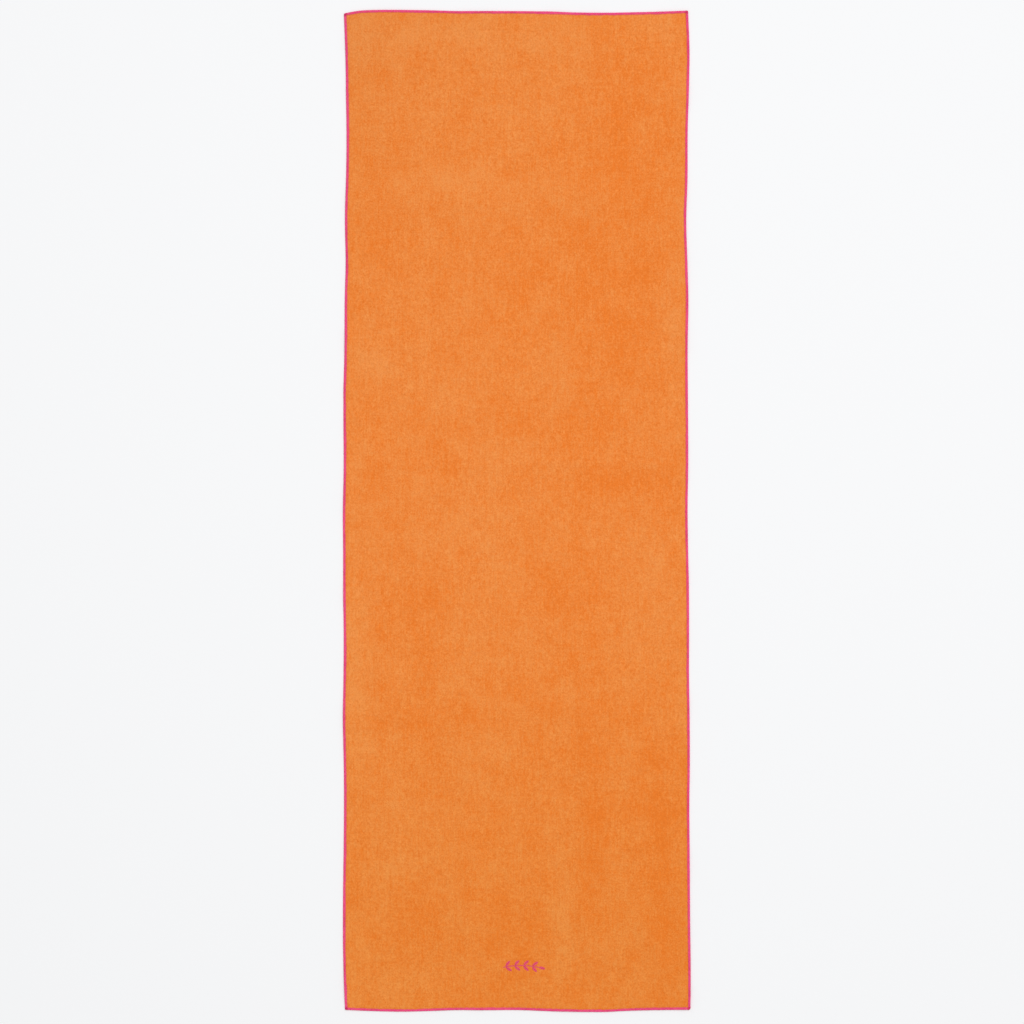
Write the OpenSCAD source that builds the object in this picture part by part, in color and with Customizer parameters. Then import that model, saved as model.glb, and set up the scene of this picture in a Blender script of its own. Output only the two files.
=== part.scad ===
// Quick-dry towel for an exercise mat.
// One microfibre panel, a three-thread overlock on each of its four edges, and a small
// embroidered leaf sprig near one end.
// It lies flat with its underside on Z = 0. Its width is along X and its length along Y,
// both centred on the origin, and the sprig is near the -Y end.

/* [Towel] */
// Overall width, from stitched edge to stitched edge
towel_w = 609; // [400:1:800]
// Overall length, from stitched edge to stitched edge
towel_l = 1754; // [900:1:2000]
// Thickness of the cloth with its nap
cloth_t = 2; // [1.6:0.1:3]
// How far the four edges wave in and out, as a share of the towel's own waviness
waviness = 1; // [0:0.1:1.5]

/* [Overlocked edge] */
// Width of the looper threads on the top face
overlock_w = 4; // [3:0.1:6]
// Width of the needle thread, which runs along the inner side of the loopers
needle_w = 0.6; // [0.4:0.1:1]
// Height of the threads on each face of the pressed margin
thread_t = 0.4; // [0.3:0.05:0.6]
// How far the looper threads stand out past the cloth's cut edge
wrap_t = 0.5; // [0.3:0.1:1]

/* [Leaf sprig] */
// Distance of the sprig's middle to the right of the towel's centre line
sprig_x = 13; // [-140:1:140]
// Distance of the sprig's middle above the towel's lower edge
sprig_up = 80; // [30:1:300]
// Length of the stem
stem_l = 62; // [50:1:80]
// Width of the stem
stem_w = 1.4; // [0.8:0.1:2]
// Length of one leaf
leaf_l = 12; // [8:0.5:13]
// Width of one leaf at its middle
leaf_w = 4.8; // [3:0.1:5]
// How far the embroidery sinks into the cloth
sprig_sink = 0.5; // [0.2:0.1:0.6]
// How far the embroidery stands above the cloth
sprig_proud = 0.2; // [0.1:0.1:0.5]
// Thickness of the bobbin thread on the underside
bobbin_t = 0.3; // [0.2:0.1:0.4]

/* [Hidden] */
SIDES = ["left", "right", "top", "bottom"];
PAIRS = 4;                      // pairs of leaves along the stem
LEAVES = 2 * PAIRS + 1;         // the last leaf ends the stem

CLOTH_COLOR = [0.93, 0.53, 0.24];
THREAD_COLOR = [0.89, 0.25, 0.49];

// How far each edge bows inwards, in mm, at evenly spaced stations along it:
// upwards for the left and right edges, to the right for the top and bottom ones.
LEFT_BOW = [
    3.5, 1, 0, 0.5, 1.5, 2, 1.5, 0, 1, 1.5, 0.5, 0.5,
    0, 1.5, 1, 1, 3, 3, 5, 3.5, 5.5, 6.5, 5.5, 4.5, 2
];
RIGHT_BOW = [
    0.5, 0, 1, 1.5, 2, 2.5, 1.5, 2, 3, 3, 3, 4.5,
    5.5, 4.5, 4.5, 5, 5.5, 4, 6, 8, 5.5, 5.5, 3.5, 2, 4.5
];
TOP_BOW = [0, 0, 0, 0.5, 2, 2, 2, 2.5, 4.5, 5, 4, 3, 1.5];
BOTTOM_BOW = [3.5, 1.5, 0.5, 2, 3.5, 3, 3.5, 1.5, 0.5, 0, 2.5, 3.5, 4];

// The top edge also falls away towards the top left corner, which was pulled out of square
CORNER_FALL = 6;                // how far it falls at the corner
FALL_REACH = 60;                // how far from the corner the fall starts

// Corner radii
TOP_LEFT_R = 4;
TOP_RIGHT_R = 3;
BOTTOM_LEFT_R = 3.5;
BOTTOM_RIGHT_R = 4.5;
LEAST_R = 0.4;                  // of a corner that lies further in than its radius

LONG_STEPS = 72;                // straight steps along a long edge
SHORT_STEPS = 36;               // straight steps along a short edge
CORNER_STEPS = 6;               // straight steps round a corner
MITRE_REACH = 20;               // how far the corner mitres run, in and out

half_w = towel_w / 2;
half_l = towel_l / 2;
seam_w = overlock_w + needle_w; // the whole stitched margin

// Stem and leaves
STEM_R = 150;                   // radius of the stem's gentle arc
STEM_GAP = 0.3;                 // between the stem and the foot of a leaf
LEAF_ANGLE = 42;                // between the stem and a leaf
FIRST_PAIR_AT = 0.06;           // share of the stem's length before the first pair
PAIR_PITCH = 0.25;              // share of the stem's length from pair to pair
BOBBIN_SHARE = 0.5;             // the bobbin thread shows on this share of each width
FINE = 180;                     // facets of the stem and leaf circles
OVER = 1;                       // how far a cutting solid runs past a face

// ---- Outline of the towel ----

// Smooth curve through evenly spaced stations, at share u of the way along; never below 0
function bow(stations, u) =
    let (
        last = len(stations) - 1,
        at = min(max(u, 0), 1) * last,
        k = min(floor(at), last - 1),
        t = at - k,
        a = stations[max(k - 1, 0)],
        b = stations[k],
        c = stations[k + 1],
        d = stations[min(k + 2, last)],
        smooth = b + t / 2 * (c - a + t * (2 * a - 5 * b + 4 * c - d + t * (3 * (b - c) + d - a)))
    )
    waviness * max(0, smooth);

// How far the top edge falls at this distance from the top left corner
function corner_fall(d) = waviness * CORNER_FALL * pow(max(0, 1 - max(d, 0) / FALL_REACH), 3);

function left_x(y) = -half_w + bow(LEFT_BOW, y / towel_l + 0.5);
function right_x(y) = half_w - bow(RIGHT_BOW, y / towel_l + 0.5);
function top_y(x) = half_l - bow(TOP_BOW, x / towel_w + 0.5) - corner_fall(x + half_w);
function bottom_y(x) = -half_l + bow(BOTTOM_BOW, x / towel_w + 0.5);

// Points round one corner, anticlockwise. sx and sy are the signs of its X and Y.
function corner(sx, sy, r, inset) =
    let (
        turn_r = max(r - inset, LEAST_R),
        edge_x = sx < 0 ? left_x(sy * (half_l - r)) : right_x(sy * (half_l - r)),
        edge_y = sy < 0 ? bottom_y(sx * (half_w - r)) : top_y(sx * (half_w - r)),
        centre_x = edge_x - sx * (inset + turn_r),
        centre_y = edge_y - sy * (inset + turn_r),
        start = sx > 0 ? (sy > 0 ? 0 : 270) : (sy > 0 ? 90 : 180)
    )
    [for (k = [0 : CORNER_STEPS])
        let (a = start + 90 * k / CORNER_STEPS)
        [centre_x + turn_r * cos(a), centre_y + turn_r * sin(a)]];

function station_x(k) = towel_w * (k / SHORT_STEPS - 0.5);
function station_y(k) = towel_l * (k / LONG_STEPS - 0.5);

// The towel's outline moved inwards by inset, anticlockwise from the lower left corner
function outline(inset) = concat(
    corner(-1, -1, BOTTOM_LEFT_R, inset),
    [for (k = [1 : SHORT_STEPS - 1]) [station_x(k), bottom_y(station_x(k)) + inset]],
    corner(1, -1, BOTTOM_RIGHT_R, inset),
    [for (k = [1 : LONG_STEPS - 1]) [right_x(station_y(k)) - inset, station_y(k)]],
    corner(1, 1, TOP_RIGHT_R, inset),
    [for (k = [SHORT_STEPS - 1 : -1 : 1]) [station_x(k), top_y(station_x(k)) - inset]],
    corner(-1, 1, TOP_LEFT_R, inset),
    [for (k = [LONG_STEPS - 1 : -1 : 1]) [left_x(station_y(k)) + inset, station_y(k)]]
);

// ---- Building blocks ----

// The whole outline, moved inwards by inset, from height low to height high
module slab(inset, low, high) {
    translate([0, 0, low])
        linear_extrude(high - low)
            polygon(outline(inset));
}

// A point on the 45 degree line through one corner, this far out from it along X and along Y
function mitre(sign, out) =
    [
        sign.x < 0 ? left_x(sign.y * half_l) : right_x(sign.y * half_l),
        sign.y < 0 ? bottom_y(sign.x * half_w) : top_y(sign.x * half_w)
    ]
    + out * sign;

// The part of the plane that belongs to one side, mitred at 45 degrees at both corners
module side_wedge(side) {
    from = side == "left" || side == "bottom" ? [-1, -1] : side == "right" ? [1, -1] : [-1, 1];
    to = side == "left" ? [-1, 1] : side == "bottom" ? [1, -1] : [1, 1];
    polygon([
        mitre(from, MITRE_REACH),
        mitre(to, MITRE_REACH),
        mitre(to, -MITRE_REACH),
        mitre(from, -MITRE_REACH)
    ]);
}

// A strip along one side, between two distances in from the edge and between two heights
module side_strip(side, outer, inner, low, high) {
    translate([0, 0, low])
        linear_extrude(high - low)
            intersection() {
                difference() {
                    polygon(outline(outer));
                    polygon(outline(inner));
                }
                side_wedge(side);
            }
}

// A pointed leaf that starts at the origin and grows along +X
module leaf_shape(l, w) {
    r = (l * l + w * w) / (4 * w);
    translate([l / 2, 0])
        intersection() {
            translate([0, r - w / 2])
                circle(r, $fn = FINE);
            translate([0, w / 2 - r])
                circle(r, $fn = FINE);
        }
}

// A stretch of the stem's arc, w wide, level at its middle
module stem_shape(l, w) {
    intersection() {
        translate([0, -STEM_R])
            difference() {
                circle(STEM_R + w / 2, $fn = FINE);
                circle(STEM_R - w / 2, $fn = FINE);
            }
        translate([-l / 2, -l / 2])
            square([l, l]);
    }
}

// Puts a leaf at its place on the sprig: odd ones above the stem, even ones below, the last at its end
module at_leaf(i) {
    pair = floor((i - 1) / 2);
    last = i == LEAVES;
    share = last ? 0.5 : FIRST_PAIR_AT + PAIR_PITCH * pair - 0.5;
    turn = asin(share * stem_l / STEM_R);
    lean = last ? 0 : (i % 2 == 1 ? LEAF_ANGLE : -LEAF_ANGLE);
    clear = last ? STEM_GAP : (stem_w / 2 + STEM_GAP) / sin(LEAF_ANGLE);
    translate([0, -STEM_R])
        rotate(-turn)
            translate([0, STEM_R])
                rotate(lean)
                    translate([clear, 0])
                        children();
}

// Places the sprig on the towel, centred on its own height and length
module at_sprig(height) {
    sag = stem_l * stem_l / (8 * STEM_R);
    translate([sprig_x - leaf_l / 2, -half_l + sprig_up + sag / 2, height])
        children();
}

// All the sprig's shapes at once, each width times share
module sprig_shapes(share) {
    stem_shape(stem_l, stem_w * share);
    for (i = [1 : LEAVES])
        at_leaf(i)
            leaf_shape(leaf_l, leaf_w * share);
}

// ---- Sub-parts ----

// The cloth: full height inside the seam, pressed thin under the overlock's threads
module cloth_panel() {
    color(CLOTH_COLOR)
        difference() {
            union() {
                slab(wrap_t, thread_t, cloth_t - thread_t);
                slab(seam_w, 0, cloth_t);
            }
            at_sprig(cloth_t - sprig_sink)
                linear_extrude(sprig_sink + OVER)
                    sprig_shapes(1);
            at_sprig(-OVER)
                linear_extrude(bobbin_t + OVER)
                    sprig_shapes(BOBBIN_SHARE);
        }
}

// The straight stitches on the top face, along the inner side of the loopers
module needle_thread(side) {
    color(THREAD_COLOR)
        side_strip(side, overlock_w, seam_w, cloth_t - thread_t, cloth_t);
}

// The looper thread over the top face, down to the middle of the cut edge
module upper_looper_thread(side) {
    color(THREAD_COLOR)
        union() {
            side_strip(side, 0, overlock_w, cloth_t - thread_t, cloth_t);
            side_strip(side, 0, wrap_t, cloth_t / 2, cloth_t);
        }
}

// The looper thread under the lower face, up to the middle of the cut edge
module lower_looper_thread(side) {
    color(THREAD_COLOR)
        union() {
            side_strip(side, 0, seam_w, 0, thread_t);
            side_strip(side, 0, wrap_t, 0, cloth_t / 2);
        }
}

module sprig_stem() {
    color(THREAD_COLOR)
        at_sprig(cloth_t - sprig_sink)
            linear_extrude(sprig_sink + sprig_proud)
                stem_shape(stem_l, stem_w);
}

module sprig_leaf(i) {
    color(THREAD_COLOR)
        at_sprig(cloth_t - sprig_sink)
            linear_extrude(sprig_sink + sprig_proud)
                at_leaf(i)
                    leaf_shape(leaf_l, leaf_w);
}

// The lock-stitch thread that shows on the underside of the embroidery
module sprig_bobbin_thread() {
    color(THREAD_COLOR)
        at_sprig(0)
            linear_extrude(bobbin_t)
                sprig_shapes(BOBBIN_SHARE);
}

cloth_panel();
for (side = SIDES) {
    needle_thread(side);
    upper_looper_thread(side);
    lower_looper_thread(side);
}
sprig_stem();
for (i = [1 : LEAVES])
    sprig_leaf(i);
sprig_bobbin_thread();
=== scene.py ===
"""A quick-dry towel laid flat on a pale floor: a microfibre cloth, an overlocked edge sewn stitch by stitch
on each side, and an embroidered leaf sprig. It is all in metres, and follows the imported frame."""

import math

import bpy
import numpy as np
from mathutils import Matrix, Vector
from mathutils.bvhtree import BVHTree


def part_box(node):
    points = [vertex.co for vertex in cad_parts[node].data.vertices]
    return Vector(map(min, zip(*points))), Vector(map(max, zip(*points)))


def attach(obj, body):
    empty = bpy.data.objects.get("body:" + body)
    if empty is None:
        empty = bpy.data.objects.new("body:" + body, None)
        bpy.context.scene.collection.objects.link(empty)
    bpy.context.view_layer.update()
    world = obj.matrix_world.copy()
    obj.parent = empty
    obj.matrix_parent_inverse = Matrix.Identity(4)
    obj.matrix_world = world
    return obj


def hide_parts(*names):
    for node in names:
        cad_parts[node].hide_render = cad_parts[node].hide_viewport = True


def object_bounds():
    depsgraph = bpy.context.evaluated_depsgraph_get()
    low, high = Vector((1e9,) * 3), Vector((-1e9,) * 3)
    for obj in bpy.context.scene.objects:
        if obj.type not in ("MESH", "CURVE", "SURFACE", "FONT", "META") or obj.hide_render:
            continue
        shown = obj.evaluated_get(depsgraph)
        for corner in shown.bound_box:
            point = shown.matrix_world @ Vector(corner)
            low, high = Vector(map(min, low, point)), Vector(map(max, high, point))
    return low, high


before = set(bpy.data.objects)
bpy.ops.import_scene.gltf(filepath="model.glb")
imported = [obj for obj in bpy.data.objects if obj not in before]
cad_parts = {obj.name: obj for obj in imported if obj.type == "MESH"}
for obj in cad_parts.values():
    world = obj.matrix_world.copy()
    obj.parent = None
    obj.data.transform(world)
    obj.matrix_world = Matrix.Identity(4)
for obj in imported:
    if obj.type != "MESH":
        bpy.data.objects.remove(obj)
cad_low, cad_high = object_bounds()

MM = 0.001
SIDES = ("left", "right", "top", "bottom")
HALF_W = (cad_high.x - cad_low.x) / 2
HALF_L = (cad_high.y - cad_low.y) / 2
CLOTH_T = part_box("cloth_panel")[1].z
LOOPER_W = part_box("left_needle_thread")[0].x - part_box("left_upper_looper_thread")[0].x
CUT_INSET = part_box("cloth_panel")[0].x - cad_low.x          # from the stitched edge to the cut edge
THREAD_T = CLOTH_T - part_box("left_needle_thread")[0].z       # how far the margin is pressed down
SPRIG_SINK = CLOTH_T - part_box("sprig_stem")[0].z


# ---------------------------------------------------------------- camera, floor and light

LENS_MM = 85
SENSOR_MM = 36
VIEW_SPAN = 1.792                 # the stretch of floor that the picture takes in
VIEW_X = -8.45 * MM               # the picture's middle, from the towel's middle
VIEW_Y = -1.8 * MM
VIEW_DEPTH = 100                  # how far the camera sees

FLOOR_SPAN = 60
FLOOR_COLOR = (0.870, 0.878, 0.893, 1)
SKY_COLOR = (0.985, 0.992, 1.0, 1)
SKY_STRENGTH = 0.537
LAMP_COLOR = (1.0, 0.985, 0.965)
OVERHEAD_AT = (0.6, 1.0, 6.8)
OVERHEAD_WIDTH = 4.4
OVERHEAD_WATTS = 200
SUN_FROM = (2.2, 3.6, 5.6)
SUN_STRENGTH = 0.66
SUN_ANGLE = 24                    # how wide the sun looks, in degrees: it makes its shadows soft


def make_camera():
    data = bpy.data.cameras.new("camera")
    data.lens = LENS_MM
    data.sensor_width = SENSOR_MM
    data.clip_end = VIEW_DEPTH
    camera = bpy.data.objects.new("camera", data)
    camera.location = (VIEW_X, VIEW_Y, VIEW_SPAN * LENS_MM / SENSOR_MM + CLOTH_T)
    bpy.context.scene.collection.objects.link(camera)
    bpy.context.scene.camera = camera


def make_floor():
    half = FLOOR_SPAN / 2
    mesh = bpy.data.meshes.new("studio_floor")
    corners = [(-half, -half, 0), (half, -half, 0), (half, half, 0), (-half, half, 0)]
    mesh.from_pydata(corners, [], [(0, 1, 2, 3)])
    floor = bpy.data.objects.new("studio_floor", mesh)
    bpy.context.scene.collection.objects.link(floor)
    material = bpy.data.materials.new("floor_paper")
    material.use_nodes = True
    shader = material.node_tree.nodes["Principled BSDF"]
    shader.inputs["Base Color"].default_value = FLOOR_COLOR
    shader.inputs["Roughness"].default_value = 0.95
    shader.inputs["Specular IOR Level"].default_value = 0.0
    mesh.materials.append(material)
    return floor


def aimed_light(name, kind, energy, location):
    """A light at this place that shines at the towel's middle."""
    data = bpy.data.lights.new(name, kind)
    data.energy = energy
    data.color = LAMP_COLOR
    light = bpy.data.objects.new(name, data)
    light.location = location
    light.rotation_euler = (-Vector(location)).to_track_quat("-Z", "Y").to_euler()
    bpy.context.scene.collection.objects.link(light)
    return data


def make_light():
    scene = bpy.context.scene
    scene.view_settings.view_transform = "Standard"
    world = bpy.data.worlds.new("soft_box")
    world.use_nodes = True
    sky = world.node_tree.nodes["Background"]
    sky.inputs["Color"].default_value = SKY_COLOR
    sky.inputs["Strength"].default_value = SKY_STRENGTH
    scene.world = world
    overhead = aimed_light("overhead", "AREA", OVERHEAD_WATTS, OVERHEAD_AT)
    overhead.shape = "DISK"
    overhead.size = OVERHEAD_WIDTH
    side = aimed_light("side", "SUN", SUN_STRENGTH, SUN_FROM)
    side.angle = math.radians(SUN_ANGLE)


# ---------------------------------------------------------------- the towel's outline, from the frame

RAY_Z = 0.75 * CLOTH_T            # a height at which a level ray meets the stitched edge
OUTSIDE = 0.05                    # how far outside the towel a ray starts
CORNER_ZONE = 0.008               # the ends of an edge, which the corners' roundness takes up
RAY_STEP = 0.004
BOW_SMOOTHING = 0.010             # smooths the CAD outline's straight steps
LEAST_RADIUS = 2 * MM             # of a corner


def face_tree(names):
    """One search tree over the faces of several CAD nodes."""
    points, faces = [], []
    for name in names:
        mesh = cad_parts[name].data
        first = len(points)
        points += [v.co.copy() for v in mesh.vertices]
        faces += [[first + i for i in polygon.vertices] for polygon in mesh.polygons]
    return BVHTree.FromPolygons(points, faces)


def reach(tree, x, y, dx, dy, z=RAY_Z):
    """Distance from a point to the first face in a level direction."""
    return tree.ray_cast(Vector((x, y, z)), Vector((dx, dy, 0)).normalized())[3]


def smooth_bow(at, values):
    """An edge's bow along its whole length: its ends run on straight, and a Gaussian rounds off the steps."""
    spare = int(6 * BOW_SMOOTHING / RAY_STEP)
    ends = np.arange(1, 2 * spare + 1)
    before = values[0] + (values[0] - values[1]) * ends[::-1]
    after = values[-1] + (values[-1] - values[-2]) * ends
    kernel = np.exp(-0.5 * (np.arange(-spare, spare + 1) * RAY_STEP / BOW_SMOOTHING) ** 2)
    row = np.convolve(np.concatenate([before, values, after]), kernel / kernel.sum(), mode="valid")
    return at[0] + RAY_STEP * (np.arange(len(row)) - spare), row


def read_outline():
    """How far each edge bows in from the box, and the radius of each corner."""
    tree = face_tree([f"{side}_upper_looper_thread" for side in SIDES])
    along_y = np.arange(-HALF_L + CORNER_ZONE, HALF_L - CORNER_ZONE, RAY_STEP)
    along_x = np.arange(-HALF_W + CORNER_ZONE, HALF_W - CORNER_ZONE, RAY_STEP)
    far_x, far_y = HALF_W + OUTSIDE, HALF_L + OUTSIDE
    rows = {
        "left": (along_y, [reach(tree, -far_x, y, 1, 0) - OUTSIDE for y in along_y]),
        "right": (along_y, [reach(tree, far_x, y, -1, 0) - OUTSIDE for y in along_y]),
        "top": (along_x, [reach(tree, x, far_y, 0, -1) - OUTSIDE for x in along_x]),
        "bottom": (along_x, [reach(tree, x, -far_y, 0, 1) - OUTSIDE for x in along_x]),
    }
    bows = {side: smooth_bow(at, np.array(row)) for side, (at, row) in rows.items()}
    radii = {}
    for sx, side_x in ((-1, "left"), (1, "right")):
        for sy, side_y in ((-1, "bottom"), (1, "top")):
            corner_x = sx * (HALF_W - np.interp(sy * HALF_L, *bows[side_x]))
            corner_y = sy * (HALF_L - np.interp(sx * HALF_W, *bows[side_y]))
            gap = reach(tree, corner_x + sx * OUTSIDE, corner_y + sy * OUTSIDE, -sx, -sy)
            radii[sx, sy] = max((gap - OUTSIDE * math.sqrt(2)) / (math.sqrt(2) - 1), LEAST_RADIUS)
    return bows, radii


BOWS, CORNER_RADII = read_outline()


def place(plan_x, plan_y):
    """From the plan, a plain rectangle of the towel's box, to the towel itself with its round corners and
    wavy edges."""
    x, y = np.array(plan_x, float), np.array(plan_y, float)
    from_x, from_y = x.copy(), y.copy()
    for (sx, sy), r in CORNER_RADII.items():
        a = np.clip((sx * from_x - HALF_W) / r + 1, 0, 1)
        b = np.clip((sy * from_y - HALF_L) / r + 1, 0, 1)
        inside = (a > 0) & (b > 0)
        x = np.where(inside, sx * (HALF_W - r + r * a * np.sqrt(1 - b * b / 2)), x)
        y = np.where(inside, sy * (HALF_L - r + r * b * np.sqrt(1 - a * a / 2)), y)
    across, up = x / (2 * HALF_W) + 0.5, y / (2 * HALF_L) + 0.5
    moved_x = x + (1 - across) * np.interp(y, *BOWS["left"]) - across * np.interp(y, *BOWS["right"])
    moved_y = y + (1 - up) * np.interp(x, *BOWS["bottom"]) - up * np.interp(x, *BOWS["top"])
    return moved_x, moved_y


def plan_point(side, along, inset):
    """The plan's point that lies this far along a side and this far in from it."""
    if side == "left":
        return inset - HALF_W, along
    if side == "right":
        return HALF_W - inset, along
    if side == "top":
        return along, HALF_L - inset
    return along, inset - HALF_L


# ---------------------------------------------------------------- how the cloth lies

def smoothstep(low, high, value):
    share = np.clip((value - low) / (high - low), 0, 1)
    return share * share * (3 - 2 * share)


def random_waves(x, y, length_x, length_y, seed, count=28):
    """A smooth random field of about unit size, whose swells have about these lengths."""
    rng = np.random.default_rng(seed)
    total = np.zeros(np.shape(x))
    for _ in range(count):
        turn_x = rng.normal(0, 2 * math.pi / length_x) * x
        turn_y = rng.normal(0, 2 * math.pi / length_y) * y
        total = total + np.cos(turn_x + turn_y + rng.uniform(0, 2 * math.pi))
    return total * math.sqrt(2 / count)


def upper_part(field):
    """Keeps a field's swells and flattens its hollows, as a cloth that rests on a floor does."""
    return (field + np.sqrt(field * field + 0.3)) / 2


# Marks that folding left, in mm: from x, y to x, y, then height and half width
FOLD_MARKS = (
    (122, 20, 118, -860, 1.0, 9),
    (70, 420, 76, 90, 0.6, 8),
    (-96, 870, -104, 300, 0.5, 9),
    (-300, 74, 300, 86, 1.1, 9),
    (-300, 540, 310, 556, 3.4, 30),
    (-300, -352, 300, -344, 0.6, 10),
    (-232, 890, -238, 640, 2.6, 38),
    (130, -560, 290, -868, 2.4, 18),
    (279, 440, 279, 170, 1.2, 8),
    (235, 868, 296, 836, 1.4, 8),
)
FOLD_WANDER = 4 * MM              # how far a fold mark strays from its straight line
FOLD_WANDER_LENGTH = 0.31
FOLD_FADE_LENGTH = 0.23           # from one strong stretch of a fold mark to the next
FOLD_ENDS = (-0.04, 0.06)         # where a fold mark starts and where it is at full height

# Where the nap was brushed up (above 0, paler) or pressed flat (below 0, deeper), in mm: the middle's x and
# y, half the width and half the length, and how much
NAP_MARKS = (
    (-95, 837, 210, 32, 0.27), (-60, 564, 180, 30, 0.15), (67, 281, 16, 105, 0.12),
    (279, 290, 18, 130, 0.13), (-253, 255, 50, 38, 0.20), (-127, 202, 30, 30, 0.22),
    (-25, 106, 105, 24, 0.13), (-95, -17, 50, 34, 0.13), (237, -87, 44, 50, 0.12),
    (-87, -244, 42, 75, 0.14), (-284, -280, 26, 125, 0.22), (83, -717, 15, 105, 0.20),
    (181, 666, 56, 180, -0.20), (-244, 596, 42, 150, -0.09), (167, 316, 72, 150, -0.12),
    (-122, 82, 30, 32, -0.18), (-253, 53, 26, 28, -0.14), (171, 50, 90, 28, -0.20),
    (62, -139, 34, 34, -0.16), (-183, -192, 60, 66, -0.10), (-190, -365, 90, 24, -0.12),
    (132, -559, 24, 205, -0.16), (251, -577, 30, 190, -0.22), (-183, -717, 100, 50, -0.13),
    (0, -734, 42, 58, -0.18), (60, -800, 420, 330, -0.04), (142, -190, 46, 270, -0.12),
    (0, 455, 340, 110, -0.08), (252, 235, 48, 50, -0.12), (60, 140, 230, 40, -0.09),
    (-252, -720, 60, 190, 0.11), (0, 848, 95, 26, -0.12),
)
NAP_STRENGTH = 1.4
WARMTH_AND_SHADE_ENDS = (-0.95, 0.05)          # the y at which the dye is warmest and the painted shade darkest, and from which on both are even
CORNER_SHADE_REACH = (0.27, 0.33)         # how far from the upper left corner the painted shade reaches, along X and Y

SWELL = 1.2 * MM                  # height of the broad swells
SWELL_LENGTHS = (0.24, 0.33)      # about how long they are along X and Y
FLUTTER = 2.4 * MM                # greatest height of the ripples along the stitched edges
FLUTTER_LENGTH = 0.17             # about how long they are
FLUTTER_REACH = 0.028             # how far in from the edge they run


def edge_distance(x, y):
    """Distance in the plan from a point to the nearest edge."""
    return np.minimum(HALF_W - np.abs(x), HALF_L - np.abs(y))


def fold_height(x, y, mark, seed):
    """A low soft ridge along one fold mark, stronger and weaker along its length."""
    x0, y0, x1, y1, height, half_width = (value * MM for value in mark)
    length = math.hypot(x1 - x0, y1 - y0)
    dx, dy = (x1 - x0) / length, (y1 - y0) / length
    along = (x - x0) * dx + (y - y0) * dy
    wander = FOLD_WANDER * np.sin(along * 2 * math.pi / FOLD_WANDER_LENGTH + seed)
    off = (y - y0) * dx - (x - x0) * dy + wander
    ridge = height / (1 + (off / half_width) ** 2)
    ends = smoothstep(*FOLD_ENDS, along) * smoothstep(*FOLD_ENDS, length - along)
    strength = 0.65 + 0.35 * np.sin(along * 2 * math.pi / FOLD_FADE_LENGTH + 2.1 * seed)
    return ridge * ends * strength


def brushed_up(x, y):
    """How far the nap is brushed up or pressed flat."""
    total = np.zeros(x.shape)
    for mark_x, mark_y, half_x, half_y, amount in NAP_MARKS:
        off_x = (x / MM - mark_x) / half_x
        off_y = (y / MM - mark_y) / half_y
        total += amount * np.exp(-(off_x ** 4 + off_y ** 4) ** 0.5)
    return NAP_STRENGTH * total


def warmth_and_painted_shade(y):
    """How much warmer the dye is, and how much painted shade darkens the cloth: 1 at the sprig's end, and 0
    past the middle."""
    return 1 - smoothstep(*WARMTH_AND_SHADE_ENDS, y)


def corner_painted_shade(x, y):
    """How much painted shade darkens the cloth: 1 at the upper left corner, less and less away from it."""
    return np.exp(-(x + HALF_W) / CORNER_SHADE_REACH[0] - (HALF_L - y) / CORNER_SHADE_REACH[1])


def lift(x, y):
    """Height of the cloth's underside over the floor."""
    height = SWELL * 0.5 * upper_part(random_waves(x, y, *SWELL_LENGTHS, seed=3) - 0.2)
    near_edge = np.exp(-np.maximum(edge_distance(x, y), 0) / FLUTTER_REACH)
    ripples = upper_part(random_waves(x, y, FLUTTER_LENGTH, FLUTTER_LENGTH, seed=8) - 0.3)
    height = height + FLUTTER * near_edge * np.tanh(0.6 * ripples)
    for seed, mark in enumerate(FOLD_MARKS):
        height = height + fold_height(x, y, mark, seed)
    return height


# ---------------------------------------------------------------- materials

MIX_FIRST = 6                     # a Mix node's own numbers for its two colours and its result
MIX_SECOND = 7
MIX_RESULT = 2


def linear(red, green, blue):
    """An 8-bit screen colour as the shader's own linear colour, with its opacity."""
    shares = (value / 255 for value in (red, green, blue))
    return (*(((c + 0.055) / 1.055) ** 2.4 if c > 0.04 else c / 12.92 for c in shares), 1)


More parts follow.
